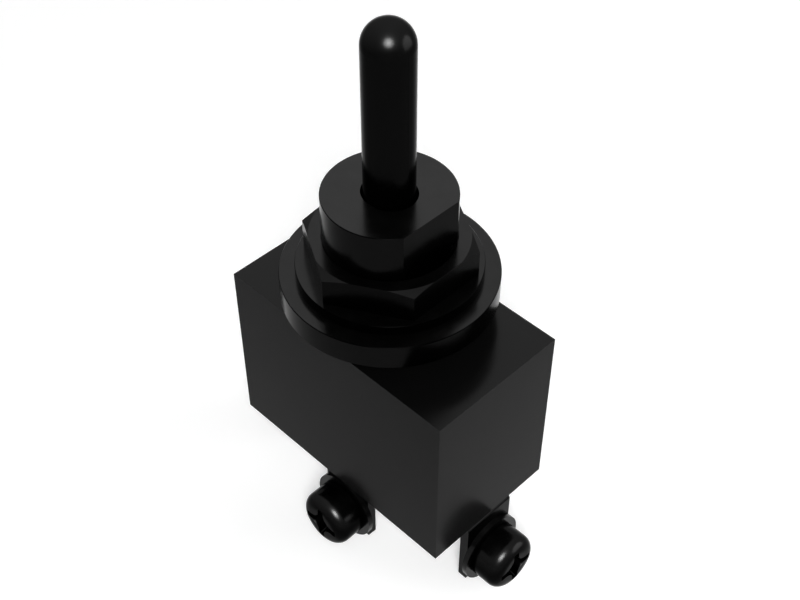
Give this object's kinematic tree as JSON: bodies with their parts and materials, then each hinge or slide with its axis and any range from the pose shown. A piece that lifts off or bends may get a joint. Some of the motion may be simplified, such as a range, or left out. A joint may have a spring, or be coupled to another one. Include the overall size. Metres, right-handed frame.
{
  "type": "panel toggle switch",
  "caption": "Single-pole toggle switch with a centre off place: bushing with nut and ring for a panel hole, plain box housing, and screw terminals.",
  "frame": {"origin": "centre of the panel seat, the ring's upper face, on the bushing's axis", "axes": "+Z out of the panel along the bushing and the lever, +X along the housing, in which the lever tilts, -Y towards the front, where the common terminal is"},
  "size_m": [0.0348, 0.0201, 0.0586],
  "materials": {
    "housing_plastic": "black thermoset, fine matte moulding",
    "base_plastic": "black thermoset, fine matte moulding",
    "bushing_metal": "turned brass, black nickel plate, satin",
    "ring_metal": "steel, black, satin",
    "washer_metal": "steel, black, satin",
    "nut_metal": "steel, black, satin",
    "lever_metal": "turned brass, black nickel plate, polished",
    "pin_steel": "drawn steel, bright",
    "plunger_plastic": "acetal, natural",
    "spring_steel": "drawn spring wire",
    "rocker_metal": "stamped brass strip",
    "cradle_metal": "stamped brass strip",
    "rivet_metal": "brass, set",
    "terminal_metal": "folded brass strip, black nickel plate",
    "contact_metal": "silver alloy, bright",
    "screw_steel": "steel, black oxide, oiled",
    "screw_washer_steel": "steel, black zinc plate"
  },
  "bodies": {
    "switch": {"housing": "housing_plastic", "base_plate": "base_plastic", "bushing": "bushing_metal", "panel_ring": "ring_metal", "flat_washer": "washer_metal", "hex_nut": "nut_metal", "rocker_cradle": "cradle_metal", "common_rivet": "rivet_metal", "common_terminal": "terminal_metal", "left_terminal": "terminal_metal", "right_terminal": "terminal_metal", "left_fixed_contact": "contact_metal", "right_fixed_contact": "contact_metal"},
    "lever": {"lever": "lever_metal", "lever_pin": "pin_steel", "plunger_spring": "spring_steel"},
    "plunger": {"plunger": "plunger_plastic"},
    "rocker": {"contact_rocker": "rocker_metal", "left_moving_contact": "contact_metal", "right_moving_contact": "contact_metal"},
    "right_screw_washer": {"right_screw_washer": "screw_washer_steel"},
    "right_screw": {"right_screw": "screw_steel"},
    "left_screw_washer": {"left_screw_washer": "screw_washer_steel"},
    "left_screw": {"left_screw": "screw_steel"},
    "common_screw_washer": {"common_screw_washer": "screw_washer_steel"},
    "common_screw": {"common_screw": "screw_steel"}
  },
  "joints": [
    {"name": "lever_tilt", "type": "hinge", "parent": "switch", "child": "lever", "pos_m": [0, 0, 0.00755], "axis": [0, 1, 0], "range_deg": [-11, 11]},
    {"name": "plunger_slide", "type": "slide", "parent": "lever", "child": "plunger", "axis": [0, 0, 1], "range_m": [0, 0.0008], "stiffness_N_per_m": 1900, "springref_m": -0.002, "deforming": ["plunger_spring"]},
    {"name": "rocker_tilt", "type": "hinge", "parent": "switch", "child": "rocker", "pos_m": [0, 0, -0.01445], "axis": [0, 1, 0], "range_deg": [-7, 7]},
    {"name": "right_screw_lift", "type": "slide", "parent": "switch", "child": "right_screw_washer", "axis": [1, 0, 0], "range_m": [0, 0.0015]},
    {"name": "right_screw_turn", "type": "hinge", "parent": "right_screw_washer", "child": "right_screw", "pos_m": [0.0136, 0, -0.0292], "axis": [1, 0, 0], "range_deg": [0, 1080]},
    {"name": "left_screw_lift", "type": "slide", "parent": "switch", "child": "left_screw_washer", "axis": [-1, 0, 0], "range_m": [0, 0.0015]},
    {"name": "left_screw_turn", "type": "hinge", "parent": "left_screw_washer", "child": "left_screw", "pos_m": [-0.0136, 0, -0.0292], "axis": [-1, 0, 0], "range_deg": [0, 1080]},
    {"name": "common_screw_lift", "type": "slide", "parent": "switch", "child": "common_screw_washer", "axis": [0, -1, 0], "range_m": [0, 0.0015]},
    {"name": "common_screw_turn", "type": "hinge", "parent": "common_screw_washer", "child": "common_screw", "pos_m": [0, -0.0063, -0.0292], "axis": [0, -1, 0], "range_deg": [0, 1080]}
  ],
  "couplings": [
    {"joint": "rocker_tilt", "follows": "lever_tilt", "ratio": -0.63636},
    {"joint": "right_screw_turn", "follows": "right_screw_lift", "rad_per_m": 12566},
    {"joint": "left_screw_turn", "follows": "left_screw_lift", "rad_per_m": 12566},
    {"joint": "common_screw_turn", "follows": "common_screw_lift", "rad_per_m": 12566}
  ]
}
